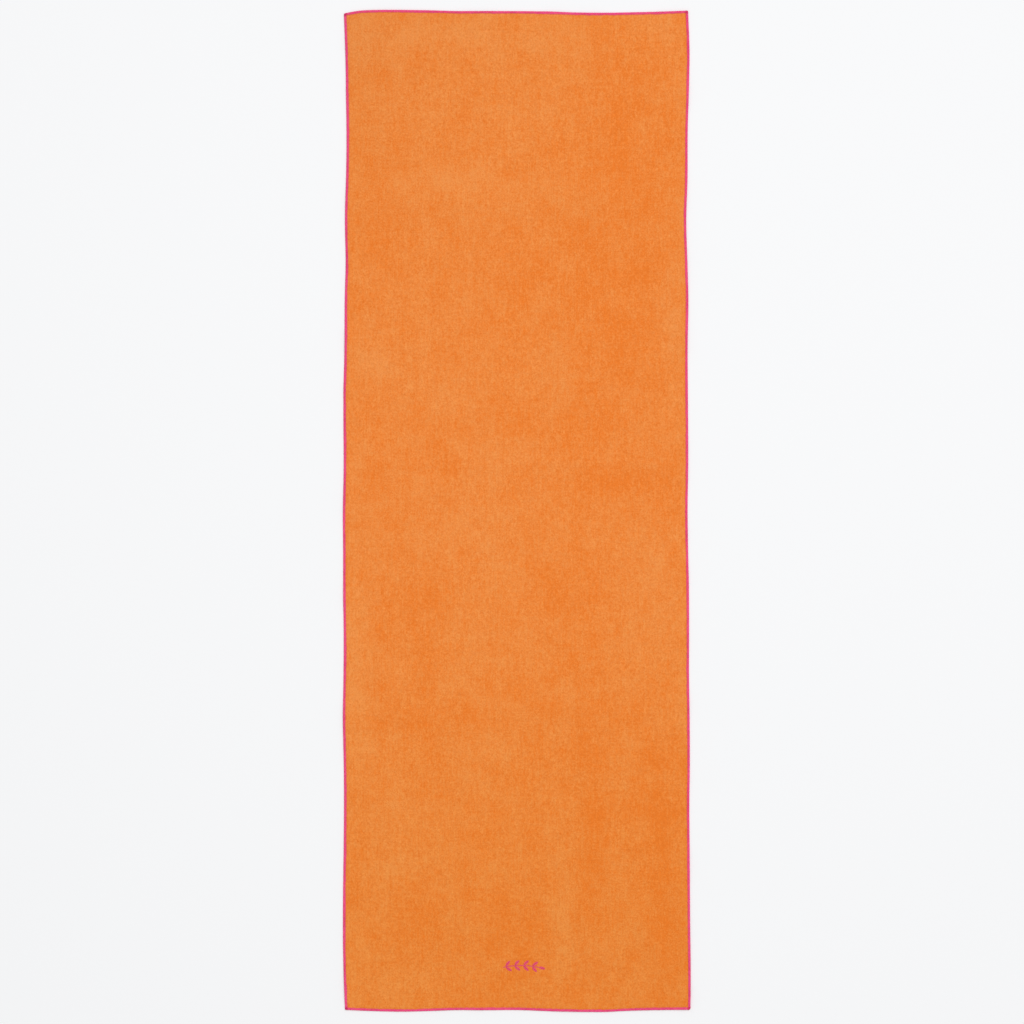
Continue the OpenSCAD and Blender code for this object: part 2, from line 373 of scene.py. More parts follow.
class Nodes:
    """A short way to write a material's nodes."""

    def __init__(self, name):
        self.material = bpy.data.materials.new(name)
        self.material.use_nodes = True
        self.tree = self.material.node_tree
        self.shader = self.tree.nodes["Principled BSDF"]
        self.noises = 0

    def add(self, kind, inputs=None, **settings):
        node = self.tree.nodes.new(kind)
        for key, value in settings.items():
            setattr(node, key, value)
        for key, value in (inputs or {}).items():
            self.give(node.inputs[key], value)
        return node

    def give(self, socket, value):
        if isinstance(value, bpy.types.NodeSocket):
            self.tree.links.new(value, socket)
        else:
            socket.default_value = value

    def set(self, name, value):
        self.give(self.shader.inputs[name], value)

    def math(self, operation, a, b=0.0, c=0.0, clamp=False):
        node = self.add("ShaderNodeMath", operation=operation, use_clamp=clamp)
        for socket, value in zip(node.inputs, (a, b, c)):
            self.give(socket, value)
        return node.outputs[0]

    def multiply_add(self, vector, factor, term):
        node = self.add("ShaderNodeVectorMath", {0: vector, 1: factor, 2: term}, operation="MULTIPLY_ADD")
        return node.outputs[0]

    def attribute(self, name):
        """A value that the mesh holds at each of its points."""
        return self.add("ShaderNodeAttribute", attribute_name=name).outputs["Fac"]

    def noise(self, vector, per_metre, detail=2.0, roughness=0.5):
        """Noise with this many features per metre on each axis. Each noise is shifted, so that no two share a
        lattice."""
        self.noises += 1
        shift = (11.37 * self.noises, 5.71 * self.noises, 2.93 * self.noises)
        inputs = {
            "Vector": self.multiply_add(vector, per_metre, shift),
            "Scale": 1.0,
            "Detail": detail,
            "Roughness": roughness,
            "Lacunarity": 2.13,
        }
        return self.add("ShaderNodeTexNoise", inputs).outputs["Fac"]

    def mix(self, share, first, second):
        node = self.add("ShaderNodeMix", data_type="RGBA")
        self.give(node.inputs["Factor"], share)
        self.give(node.inputs[MIX_FIRST], first)
        self.give(node.inputs[MIX_SECOND], second)
        return node.outputs[MIX_RESULT]

    def ramp(self, value, low, high, to_low=0.0, to_high=1.0):
        inputs = {"Value": value, "From Min": low, "From Max": high, "To Min": to_low, "To Max": to_high}
        return self.add("ShaderNodeMapRange", inputs).outputs["Result"]

    def bump(self, height, distance, strength, normal=None):
        inputs = {"Height": height, "Distance": distance, "Strength": strength}
        if normal is not None:
            inputs["Normal"] = normal
        return self.add("ShaderNodeBump", inputs).outputs["Normal"]


NAP_DEEP = linear(229, 119, 39)
NAP_PALE = linear(232, 142, 73)
NAP_SHEEN = (1.0, 0.72, 0.48, 1)
WARMER = (1.0, 1.01, 0.80)        # what a deeper dye does to the colour
BOTTOM_PAINTED_SHADE = 0.040               # painted shade: how much darker the cloth is made towards its lower end
# painted shade at the upper left corner
CORNER_SHADE_DARKENS = 0.08
TUFT_SHADE = 0.34                 # how much the tufts, the pile and the fibres lighten and darken the colour
PILE_SHADE = 0.42
FIBRE_SHADE = 0.38
FIBRE_BEND = 1.0 * MM
THREAD_SHEEN = (1.0, 0.62, 0.78, 1)


def microfibre():
    """Short orange nap. Where it is brushed up it looks paler, and where it lies flat deeper: the mesh's own
    nap marks, then clouds, patches and streaks, the knit's ribs and courses, fine tufts, and the fibres."""
    n = Nodes("microfibre")
    here = n.add("ShaderNodeTexCoord").outputs["Object"]
    brushed = n.attribute("nap")
    clouds = n.noise(here, (6.5, 4.2, 6.5), 1.0, 0.6)
    patches = n.noise(here, (26, 19, 26), 4.0, 0.95)
    streaks = n.noise(here, (210, 80, 210), 2.0, 0.6)
    ribs = n.noise(here, (420, 16, 16), 1.0, 0.6)
    courses = n.noise(here, (16, 420, 16), 1.0, 0.6)
    tufts = n.noise(here, (400, 320, 400), 1.5, 0.8)
    pile = n.noise(here, (1300, 1000, 1300), 2.0, 0.7)
    waft = n.add("ShaderNodeTexNoise", {"Vector": here, "Scale": 420.0, "Detail": 1.0}).outputs["Color"]
    bent = n.multiply_add(waft, (FIBRE_BEND,) * 3, here)
    hairs = n.noise(bent, (6400, 1300, 3000), 1.5, 0.7)
    cross_hairs = n.noise(bent, (1500, 5600, 3000), 1.5, 0.7)

    paleness = n.math("ADD", brushed, 0.5)
    fields = (
        (clouds, 0.50),
        (patches, 1.90),
        (streaks, 0.85),
        (ribs, 0.60),
        (courses, 0.30),
        (tufts, 1.45),
        (pile, 0.70),
    )
    for field, weight in fields:
        paleness = n.math("ADD", paleness, n.math("MULTIPLY_ADD", field, weight, -weight / 2))
    color = n.mix(n.math("ADD", paleness, 0.0, clamp=True), NAP_DEEP, NAP_PALE)
    warm = n.add("ShaderNodeVectorMath", {0: color, 1: WARMER}, operation="MULTIPLY").outputs[0]
    # the mesh's "dye" warms the colour here, and further down also darkens it as painted shade towards the
    # lower end
    dye = n.attribute("dye")
    heather = n.noise(here, (190, 150, 190), 2.0, 0.7)
    warmth = n.math("ADD", n.math("MULTIPLY_ADD", dye, 0.75, -0.20), n.math("MULTIPLY", heather, 0.95))
    color = n.mix(warmth, color, warm)

    fibres = n.math("MULTIPLY_ADD", cross_hairs, 0.7, hairs)
    shade = n.math("MULTIPLY_ADD", tufts, TUFT_SHADE, 1.02 - TUFT_SHADE / 2)
    for field, middle, weight in ((pile, 0.5, PILE_SHADE), (fibres, 0.85, FIBRE_SHADE)):
        shade = n.math("ADD", shade, n.math("MULTIPLY_ADD", field, weight, -weight * middle))
    # painted shade: the cloth next to the seam is made darker, as in a hollow
    seam_painted_shade = n.ramp(n.attribute("inset"), LOOPER_W, LOOPER_W + 2.2 * MM, 0.94, 1.0)
    shade = n.math("MULTIPLY", shade, seam_painted_shade)
    # painted shade: darker towards the cloth's lower end, by the mesh's "dye"
    shade = n.math("MULTIPLY", shade, n.math("MULTIPLY_ADD", dye, -BOTTOM_PAINTED_SHADE, 1.0))
    # painted shade at the upper left corner, by the mesh's "lean"
    shade = n.math("MULTIPLY", shade, n.math("MULTIPLY_ADD", n.attribute("lean"), -CORNER_SHADE_DARKENS, 1.0))
    shaded = n.add("ShaderNodeVectorMath", {0: color, "Scale": shade}, operation="SCALE").outputs[0]

    n.set("Base Color", shaded)
    n.set("Roughness", n.ramp(tufts, 0.3, 0.7, 0.84, 0.94))
    n.set("Specular IOR Level", 0.18)
    n.set("Sheen Weight", 0.15)
    n.set("Sheen Roughness", 0.45)
    n.set("Sheen Tint", NAP_SHEEN)
    coarse = n.bump(streaks, 0.5 * MM, 0.5)
    tufted = n.bump(n.math("MULTIPLY_ADD", pile, 0.6, tufts), 0.6 * MM, 0.9, coarse)
    n.set("Normal", n.bump(fibres, 0.09 * MM, 0.9, tufted))
    return n.material


def yarn_material(name, color, deep, roughness, twists_per_metre, ply_depth, unevenness):
    """Twisted thread of fine filaments, paler and deeper by turns along the seam. Its own UV map holds the
    metres along it and the share of the way round."""
    n = Nodes(name)
    here = n.add("ShaderNodeTexCoord").outputs["Object"]
    yarn_uv = n.add("ShaderNodeUVMap", uv_map="yarn").outputs["UV"]
    lay = n.add("ShaderNodeSeparateXYZ", {"Vector": yarn_uv}).outputs
    turns = n.math("MULTIPLY_ADD", lay["X"], twists_per_metre, lay["Y"])
    angle = n.math("MULTIPLY", turns, 2 * math.pi)
    plies = n.math("ABSOLUTE", n.math("SINE", angle))
    round_it = {
        "X": n.math("COSINE", angle),
        "Y": n.math("SINE", angle),
        "Z": n.math("MULTIPLY", lay["X"], 260.0),
    }
    twisted_place = n.add("ShaderNodeCombineXYZ", round_it).outputs[0]
    filaments = n.noise(twisted_place, (4.5, 4.5, 1.0), 2.0, 0.7)
    dye = n.noise(here, (260, 260, 260), 3.0, 0.6)
    fuzz = n.noise(here, (4200, 4200, 4200), 2.0, 0.7)
    # paler and deeper by turns along the seam, a few centimetres at a time
    slow_swing = n.noise(here, (18, 18, 18), 5.0, 0.9)
    # the plies' share paints shade into the grooves between the plies and light onto their crowns
    shade = n.math("MULTIPLY_ADD", plies, 0.42, -0.54 - unevenness / 2)
    for field, weight in ((dye, 0.7), (filaments, 0.9), (fuzz, 0.5), (slow_swing, unevenness)):
        shade = n.math("MULTIPLY_ADD", field, weight, shade)
    # where seams cross at the corners the yarn is darker: partly the doubled thread's denser colour, partly
    # painted shade
    crossing = n.math("MULTIPLY", n.attribute("crossing"), 0.65)
    shade = n.math("SUBTRACT", shade, crossing, clamp=True)
    n.set("Base Color", n.mix(shade, deep, color))
    n.set("Roughness", n.ramp(fuzz, 0.3, 0.7, roughness - 0.06, roughness + 0.06))
    n.set("Specular IOR Level", 0.35)
    n.set("Sheen Weight", 0.18)
    n.set("Sheen Roughness", 0.4)
    n.set("Sheen Tint", THREAD_SHEEN)
    twisted = n.bump(plies, ply_depth, 0.9)
    combed = n.bump(filaments, 0.10 * MM, 0.8, twisted)
    n.set("Normal", n.bump(fuzz, 0.05 * MM, 0.7, combed))
    return n.material


# ---------------------------------------------------------------- meshes

def new_piece(name, points, faces, material, sharp_over=None):
    """A smooth mesh, but for its edges that are sharper than this angle."""
    mesh = bpy.data.meshes.new(name)
    mesh.from_pydata(points, [], faces)
    mesh.update()
    mesh.shade_smooth()
    if sharp_over is not None:
        mesh.set_sharp_from_angle(angle=math.radians(sharp_over))
    mesh.materials.append(material)
    piece = bpy.data.objects.new(name, mesh)
    bpy.context.scene.collection.objects.link(piece)
    return piece


def settle(piece, slot, *nodes):
    """The piece stands for these CAD nodes and rides on the towel's one body. Its slot is not used."""
    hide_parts(*nodes)
    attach(piece, "root")
    return piece


SHARP_ANGLE = 50                  # in degrees: only the cut edge's own folds are sharper
GRID_STEPS = (5.4 * MM, 5.6 * MM)  # from point to point of the cloth, along X and Y
FINE_STEP = 2.4 * MM              # and around the sprig
SPRIG_MARGIN = 6 * MM             # how far round the sprig the fine grid runs
RIM = 16 * MM                     # the strip along each edge that has its own closer lines
ROUNDED = 1.6 * MM                # how far in from the stitched edge the cloth's faces are rounded
GROOVE_DEPTH = 0.12 * MM          # along the needle thread
PRESS = 0.35 * MM                 # how far the sprig's stitches draw the upper face down
BOBBIN_SINK = 0.17 * MM           # and the underside up
PRESS_FADE = 5 * MM               # the press fades out this far to both sides of the leaves' box
STEM_FADE = (14 * MM, 1 * MM)     # and along the bare stem, between these distances from the first leaves
UNEVENNESS = 0.05 * MM            # of the upper face
UNEVENNESS_LENGTHS = (0.016, 0.024)


def grid_lines(half, fine_low, fine_high, step):
    """Evenly spaced lines from -half to half, closer between two places and at both edges."""
    past_seam = LOOPER_W + np.array([0, 0.7, 1.5, 2.6, 4.4, 7.1]) * MM
    rim = np.concatenate([[CUT_INSET, 1.4 * MM, 2.7 * MM], past_seam])
    inner = half - RIM
    spans = ((-inner, fine_low, step), (fine_low, fine_high, FINE_STEP), (fine_high, inner, step))
    middle = [np.linspace(a, b, max(round((b - a) / size), 1), endpoint=False) for a, b, size in spans]
    return np.concatenate([rim - half, *middle, [inner], (half - rim)[::-1]])


def top_profile(inset):
    """Height of the cloth's upper face over its underside's level, by distance in from the stitched edge."""
    rounded = -0.35 * MM * (1 - smoothstep(CUT_INSET, ROUNDED, inset))
    past = inset - LOOPER_W
    groove = smoothstep(-1.0 * MM, 0.2 * MM, past) * (1 - smoothstep(0.8 * MM, 1.8 * MM, past))
    rise = THREAD_T * smoothstep(0.8 * MM, 5.0 * MM, past)
    return CLOTH_T - THREAD_T + rounded - GROOVE_DEPTH * groove + rise


def bottom_profile(inset):
    """The same for its lower face, which the seam presses up."""
    rounded = 0.3 * MM * (1 - smoothstep(CUT_INSET, ROUNDED, inset))
    return THREAD_T * (1 - smoothstep(LOOPER_W + 0.6 * MM, LOOPER_W + 4.6 * MM, inset)) + rounded


def sprig_share(x, y):
    """How far the embroidery draws the cloth in around it, from 0 to 1."""
    low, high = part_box("sprig_leaf_2")[0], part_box("sprig_leaf_9")[1]
    low_y, high_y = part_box("sprig_leaf_8")[0].y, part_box("sprig_leaf_3")[1].y
    across = smoothstep(low.x - STEM_FADE[0], low.x - STEM_FADE[1], x)
    across = across * (1 - smoothstep(high.x - PRESS_FADE, high.x + PRESS_FADE, x))
    over = smoothstep(low_y - PRESS_FADE, low_y + PRESS_FADE, y)
    under = 1 - smoothstep(high_y - PRESS_FADE, high_y + PRESS_FADE, y)
    return across * over * under


def sheet_faces(count_x, count_y):
    """The faces of two grids of points that are joined round their edge: upper, lower and edge faces."""
    layer = count_x * count_y
    number = np.arange(layer).reshape(count_x, count_y)
    corners = [number[:-1, :-1], number[1:, :-1], number[1:, 1:], number[:-1, 1:]]
    top = np.stack([c.ravel() for c in corners], 1)
    bottom = top[:, ::-1] + layer
    ring = np.concatenate([number[:-1, 0], number[-1, :-1], number[:0:-1, -1], number[0, :0:-1]])
    after = np.roll(ring, -1)
    rim = np.stack([ring, ring + layer, after + layer, after], 1)
    return top, bottom, rim


def make_cloth(material):
    """The panel as one closed sheet: an upper and a lower face on one grid, joined round the cut edge."""
    low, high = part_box("sprig_bobbin_thread")
    lines_x = grid_lines(HALF_W, low.x - SPRIG_MARGIN, high.x + SPRIG_MARGIN, GRID_STEPS[0])
    lines_y = grid_lines(HALF_L, low.y - SPRIG_MARGIN, high.y + SPRIG_MARGIN, GRID_STEPS[1])
    plan_x, plan_y = (g.ravel() for g in np.meshgrid(lines_x, lines_y, indexing="ij"))
    inset = edge_distance(plan_x, plan_y)
    x, y = place(plan_x, plan_y)
    floor_gap = lift(x, y)
    drawn_in = sprig_share(x, y)
    uneven = random_waves(x, y, *UNEVENNESS_LENGTHS, seed=21, count=60) * smoothstep(6 * MM, 12 * MM, inset)
    top_z = floor_gap + top_profile(inset) + UNEVENNESS * uneven - PRESS * drawn_in
    bottom_z = floor_gap + bottom_profile(inset) + BOBBIN_SINK * drawn_in
    points = np.concatenate([np.stack([x, y, top_z], 1), np.stack([x, y, bottom_z], 1)])
    top, bottom, rim = sheet_faces(len(lines_x), len(lines_y))
    cloth = new_piece("cloth", points, np.concatenate([top, bottom, rim]), material, SHARP_ANGLE)
    # "dye" holds the warmer dye and also the painted shade towards the lower end
    # "lean" holds the painted shade at the upper left corner
    looks = {"inset": inset, "nap": brushed_up(x, y), "dye": warmth_and_painted_shade(y), "lean": corner_painted_shade(x, y)}
    for name, values in looks.items():
        both_faces = np.tile(values, 2).astype(np.float32)
        cloth.data.attributes.new(name, "FLOAT", "POINT").data.foreach_set("value", both_faces)
    add_sheet_uv(cloth.data, np.tile(plan_x, 2), np.tile(plan_y, 2), len(top))
    return settle(cloth, "microfibre", "cloth_panel")


def add_sheet_uv(mesh, plan_x, plan_y, face_count):
    """A bake map with the upper face on the left half and the lower face on the right half."""
    corner_vertex = np.zeros(len(mesh.loops), np.int32)
    mesh.loops.foreach_get("vertex_index", corner_vertex)
    u = 0.01 + 0.47 * (plan_x / HALF_W + 1) / 2
    v = 0.01 + 0.98 * (plan_y / HALF_L + 1) / 2
    uv = np.stack([u[corner_vertex], v[corner_vertex]], 1)
    lower = np.zeros(len(corner_vertex), bool)
    lower[4 * face_count:8 * face_count] = True
    uv[lower, 0] += 0.5
    mesh.uv_layers.new(name="OFBake").data.foreach_set("uv", uv.astype(np.float32).ravel())


def unit(vectors):
    """The same directions, each of length 1."""
    return vectors / np.maximum(np.linalg.norm(vectors, axis=1, keepdims=True), 1e-12)


class Yarn:
    """Builds one object out of runs of thread, each a tube with an oval section along a path."""

    def __init__(self, name, half_width, half_height, sides=6, bake_rows=1):
        self.name = name
        self.half_width = half_width
        self.half_height = half_height
        self.sides = sides
        self.bake_rows = bake_rows
        self.runs = []

    def run(self, path, ups, spread=None, crossing=None):
        """path is the thread's middle line, and ups point out of the surface that it lies on. spread is the
        share of its full width at each point, and crossing how far it lies in a corner's crossing."""
        tangents = unit(np.gradient(path, axis=0))
        wide = unit(np.cross(tangents, ups))
        high = np.cross(wide, tangents)
        turn = 2 * math.pi * np.arange(self.sides) / self.sides
        spread = np.ones(len(path)) if spread is None else spread
        crossing = np.zeros(len(path)) if crossing is None else crossing
        half_w = self.half_width * spread[:, None] * np.cos(turn)[None]
        half_h = self.half_height / np.sqrt(spread)[:, None] * np.sin(turn)[None]
        ring = wide[:, None] * half_w[..., None] + high[:, None] * half_h[..., None]
        points = (path[:, None] + ring).reshape(-1, 3)
        steps = np.linalg.norm(np.diff(path, axis=0), axis=1)
        along = np.concatenate([[0], np.cumsum(steps)])
        self.runs.append((points, along, np.repeat(crossing, self.sides)))

    def build(self, material):
        """The runs as one mesh. Its bake map lays each run out in rows, so that it isn't squeezed."""
        sides = self.sides
        points, faces, uv_along, uv_round, first = [], [], [], [], 0
        for run_points, along, _ in self.runs:
            rings = len(along)
            k = np.arange(rings - 1)[:, None] * sides
            j = np.arange(sides)[None, :]
            after = (j + 1) % sides
            quads = np.stack([k + j, k + after, k + sides + after, k + sides + j], -1).reshape(-1, 4)
            faces.append(quads + first)
            ends = np.stack([along[:-1], along[:-1], along[1:], along[1:]], -1)
            uv_along.append(np.repeat(ends, sides, axis=0))
            rounds = np.stack([j, j + 1, j + 1, j], -1)[0] / sides
            uv_round.append(np.tile(rounds, (rings - 1, 1)))
            points.append(run_points)
            first += len(run_points)
        quads = np.concatenate(faces)
        caps = self.cap_faces()
        piece = new_piece(self.name, np.concatenate(points), [*quads.tolist(), *caps], material)
        mesh = piece.data
        cap_corners = len(caps) * sides
        along, around = np.concatenate(uv_along).ravel(), np.concatenate(uv_round).ravel()
        self.add_uv(mesh, "yarn", along, around, cap_corners)
        longest = max(run[1][-1] for run in self.runs)
        row_length = longest / self.bake_rows * 1.0001
        row = np.floor(along.reshape(-1, 4)[:, :1] / row_length).repeat(4, 1).ravel()
        in_row = np.clip(along / row_length - row, 0, 1)
        self.add_uv(mesh, "OFBake", in_row, (row + around) / self.bake_rows, cap_corners)
        crossing = np.concatenate([run[2] for run in self.runs]).astype(np.float32)
        mesh.attributes.new("crossing", "FLOAT", "POINT").data.foreach_set("value", crossing)
        return piece

    def cap_faces(self):
        """The two end faces of every run."""
        faces, first = [], 0
        for points, _, _ in self.runs:
            last = first + len(points) - self.sides
            faces.append(list(range(first, first + self.sides))[::-1])
            faces.append(list(range(last, last + self.sides)))
            first += len(points)
        return faces

    def add_uv(self, mesh, name, u, v, cap_corners):
        """A UV map with these values. The end faces' corners come last, and stay at 0."""
        uv = np.zeros((len(u) + cap_corners, 2), np.float32)
        uv[:len(u), 0], uv[:len(u), 1] = u, v
        mesh.uv_layers.new(name=name).data.foreach_set("uv", uv.ravel())


# ---------------------------------------------------------------- the overlocked edge

STITCH = 2.0 * MM                 # length of one stitch
LOOPER_HALF_W = 0.56 * MM         # the loopers' soft textured yarn spreads flat
LOOPER_HALF_H = 0.23 * MM
LOOPER_FACES = 7                  # round the yarn
NEEDLE_R = 0.2 * MM
NEEDLE_FACES = 6
SEAM_END = 0.7 * MM               # how short of the corner a seam stops
CROSSING_LIFT = 0.32 * MM         # how far the later seams ride up over the earlier ones
CROSSING_OUT = 0.12 * MM          # and stand out past them
CROSSING_REACH = 6.5 * MM
LEAST_HEIGHT = 0.2 * MM           # of a thread's middle line over the floor
SEAM_UNEVENNESS = 0.038           # how far a seam's width strays from the usual one, as a share
SLOW_LENGTH = 0.10                # about how long its slow and its quick changes are
QUICK_LENGTH = 0.024
ALONG_SCATTER = 0.05              # how far a stitch is out of place along the seam, as a share of its length
INWARD_SCATTER = 0.13 * MM        # and how far its inner end reaches too far or not far enough
HEIGHT_SCATTER = 0.03 * MM
LONG_ROWS = 16                    # rows of a long and of a short seam's bake map
SHORT_ROWS = 8

# One stitch of the upper looper: inset as a share of the looper width, height in mm, place along the stitch
# as a share of its length, how far the surface that it lies on has turned from facing up, in degrees, and how
# far the yarn spreads, as a share of its full width. It comes up over the cut edge, crosses to the needle
# thread, hooks round it and comes back.
UPPER_STITCH = (
    (0.045, 0.80, 0.000, 90, 1.0), (0.045, 1.16, 0.030, 84, 1.0), (0.065, 1.46, 0.060, 66, 1.0),
    (0.120, 1.70, 0.090, 40, 1.0), (0.230, 1.85, 0.135, 12, 1.0), (0.550, 1.90, 0.260, 0, 0.95),
    (0.930, 1.84, 0.400, 0, 0.84), (1.080, 1.78, 0.450, 0, 0.70), (1.120, 1.74, 0.500, 0, 0.58),
    (1.080, 1.78, 0.550, 0, 0.70), (0.930, 1.84, 0.600, 0, 0.84), (0.550, 1.90, 0.740, 0, 0.95),
    (0.230, 1.85, 0.865, 12, 1.0), (0.120, 1.70, 0.910, 40, 1.0), (0.065, 1.46, 0.940, 66, 1.0),
    (0.045, 1.16, 0.970, 84, 1.0),
)
# The lower looper does the same under the cloth
LOWER_STITCH = (
    (0.06, 1.16, 0.00, 88, 1.0), (0.06, 0.82, 0.03, 100, 1.0), (0.09, 0.50, 0.07, 125, 1.0),
    (0.16, 0.30, 0.11, 155, 1.0), (0.55, 0.24, 0.26, 180, 0.95), (0.93, 0.25, 0.40, 180, 0.84),
    (1.08, 0.28, 0.45, 180, 0.70), (1.12, 0.34, 0.50, 180, 0.58), (1.08, 0.28, 0.55, 180, 0.70),
    (0.93, 0.25, 0.60, 180, 0.84), (0.55, 0.24, 0.74, 180, 0.95), (0.16, 0.30, 0.89, 155, 1.0),
    (0.09, 0.50, 0.93, 125, 1.0), (0.06, 0.82, 0.97, 100, 1.0),
)
# The needle thread goes over from hole to hole, down through the cloth, round the lower looper and up again
NEEDLE_STITCH = (
    (1.06, 1.50, 0.025, 0, 1), (1.06, 1.80, 0.06, 0, 1), (1.06, 1.96, 0.16, 0, 1), (1.06, 2.04, 0.34, 0, 1),
    (1.06, 2.05, 0.50, 0, 1), (1.06, 2.04, 0.66, 0, 1), (1.06, 1.96, 0.84, 0, 1), (1.06, 1.80, 0.94, 0, 1),
    (1.06, 1.50, 0.975, 0, 1), (1.05, 0.70, 0.99, 0, 1), (0.99, 0.21, 0.99, 0, 1), (1.03, 0.21, 1.01, 0, 1),
    (1.06, 0.70, 1.01, 0, 1),
)


def seam_width(side, along):
    """How wide a seam is sewn at each place along a side, as a share of its usual width."""
    seed = 30 + SIDES.index(side)
    slow = random_waves(along, 0 * along, SLOW_LENGTH, 1, seed)
    quick = random_waves(along, 0 * along, QUICK_LENGTH, 1, seed + len(SIDES))
    return 1 + SEAM_UNEVENNESS * (slow + quick)


def seam_paths(side, stitch, start_share, rng, wobble):
    """The middle line of one thread along a side, and at each point the way up, the yarn's spread, and how
    far it lies in a crossing. Its first stitch starts at start_share of a stitch, and wobble is how unevenly
    it is sewn."""
    half = HALF_L if side in ("left", "right") else HALF_W
    length = 2 * (half - SEAM_END)
    count = int(length / STITCH)
    pitch = length / count
    shape = np.array(stitch, float)
    step = np.arange(count)[:, None]
    along = -half + SEAM_END + (step + start_share + shape[None, :, 2]) * pitch
    along = along + rng.normal(0, ALONG_SCATTER * pitch, (count, 1)) * wobble
    inner = smoothstep(0.25, 0.9, shape[None, :, 0])
    inset = shape[None, :, 0] * LOOPER_W + rng.normal(0, INWARD_SCATTER, (count, 1)) * inner * wobble
    inset = inset * seam_width(side, along)
    height = shape[None, :, 1] * MM + rng.normal(0, HEIGHT_SCATTER, (count, len(shape))) * wobble
    keep = np.abs(along) < half - SEAM_END / 2
    along, inset, height = along[keep], inset[keep], height[keep]
    turned = np.radians(np.broadcast_to(shape[None, :, 3], keep.shape)[keep])
    to_end = half - np.abs(along)
    crossing = 1 - smoothstep(0.55 * CROSSING_REACH, CROSSING_REACH, to_end)
    if side in ("top", "bottom"):
        height = height + CROSSING_LIFT * crossing * np.cos(turned)
        inset = inset - CROSSING_OUT * crossing * np.sin(turned)
    x, y = place(*plan_point(side, along, inset))
    out_x, out_y = place(*plan_point(side, along, inset - 0.1 * MM))
    outward = unit(np.stack([out_x - x, out_y - y, np.zeros(len(x))], 1))
    path = np.stack([x, y, lift(x, y) + np.maximum(height, LEAST_HEIGHT)], 1)
    ups = outward * np.sin(turned)[:, None] + np.array([0, 0, 1.0]) * np.cos(turned)[:, None]
    spread = np.broadcast_to(shape[None, :, 4], keep.shape)[keep]
    return path, ups, spread, crossing


def make_seams(material):
    """Three threads on each side. The top and bottom seams were sewn last, and cross over the other two."""
    made = []
    rng = np.random.default_rng(5)
    for side in SIDES:
        rows = LONG_ROWS if side in ("left", "right") else SHORT_ROWS
        loopers = {"upper_looper": UPPER_STITCH, "lower_looper": LOWER_STITCH}
        for name, stitch in loopers.items():
            yarn = Yarn(f"{side}_{name}_yarn", LOOPER_HALF_W, LOOPER_HALF_H, LOOPER_FACES, rows)
            yarn.run(*seam_paths(side, stitch, 0.0, rng, 1.0))
            made.append(settle(yarn.build(material), "edge_thread", f"{side}_{name}_thread"))
        yarn = Yarn(f"{side}_needle_yarn", NEEDLE_R, NEEDLE_R, NEEDLE_FACES, rows)
        yarn.run(*seam_paths(side, NEEDLE_STITCH, 0.5, rng, 0.5))
        made.append(settle(yarn.build(material), "edge_thread", f"{side}_needle_thread"))
    return made


# ---------------------------------------------------------------- the leaf sprig

SATIN_PITCH = 0.40 * MM           # from strand to strand
SATIN_HALF_W = 0.23 * MM
SATIN_HALF_H = 0.14 * MM
SATIN_TOP = 0.30 * MM             # how high a long strand's middle stands over the cloth
SATIN_FACES = 6                   # round a strand
VEIN_GAP = 0.10 * MM              # half the groove along a leaf's middle
LEAF_LEAN = 0.13                  # how far up the leaf a strand runs, as a share of the leaf's length
STEM_LEAN = 0.25                  # the same on the stem, as a share of its width
LONG_STRAND = 1.2 * MM            # a strand this long or longer stands up to its full height
BOBBIN_PITCH = 0.8 * MM
BOBBIN_HALF_W = 0.16 * MM
BOBBIN_HALF_H = 0.10 * MM
BOBBIN_ENDS = 0.14 * MM           # height over the floor of a strand's ends, and of its middle
BOBBIN_MIDDLE = 0.11 * MM
BOBBIN_SHARE = 0.5                # the bobbin thread's share of each leaf's and the stem's width


def stem_line():
    """The stem's middle line from its foot to its end, read from its CAD node, and its width."""
    low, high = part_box("sprig_stem")
    tree = face_tree(["sprig_stem"])
    z = (low.z + high.z) / 2
    xs = np.linspace(low.x + 0.3 * MM, high.x - 0.3 * MM, 60)
    upper = np.array([high.y + OUTSIDE - reach(tree, x, high.y + OUTSIDE, 0, -1, z) for x in xs])
    lower = np.array([low.y - OUTSIDE + reach(tree, x, low.y - OUTSIDE, 0, 1, z) for x in xs])
    return np.stack([xs, (upper + lower) / 2], 1), float((upper - lower).min())


def leaf_axis(node, stem):
    """A leaf's foot and tip, its two points furthest apart, and its width."""
    flat = np.array([v.co[:2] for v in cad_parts[node].data.vertices])
    gaps = np.linalg.norm(flat[:, None] - flat[None], axis=2)
    a, b = np.unravel_index(gaps.argmax(), gaps.shape)
    ends = [flat[a], flat[b]]
    ends.sort(key=lambda end: np.linalg.norm(stem - end, axis=1).min())
    foot, tip = ends
    direction = (tip - foot) / np.linalg.norm(tip - foot)
    off = (flat - foot) @ np.array([-direction[1], direction[0]])
    return foot, tip, float(off.max() - off.min())


def leaf_half(share, length, width):
    """Half the width of a leaf, between two arcs, at a share of its length."""
    r = (length * length + width * width) / (4 * width)
    return np.sqrt(np.maximum(r * r - (length * (share - 0.5)) ** 2, 0)) - (r - width / 2)


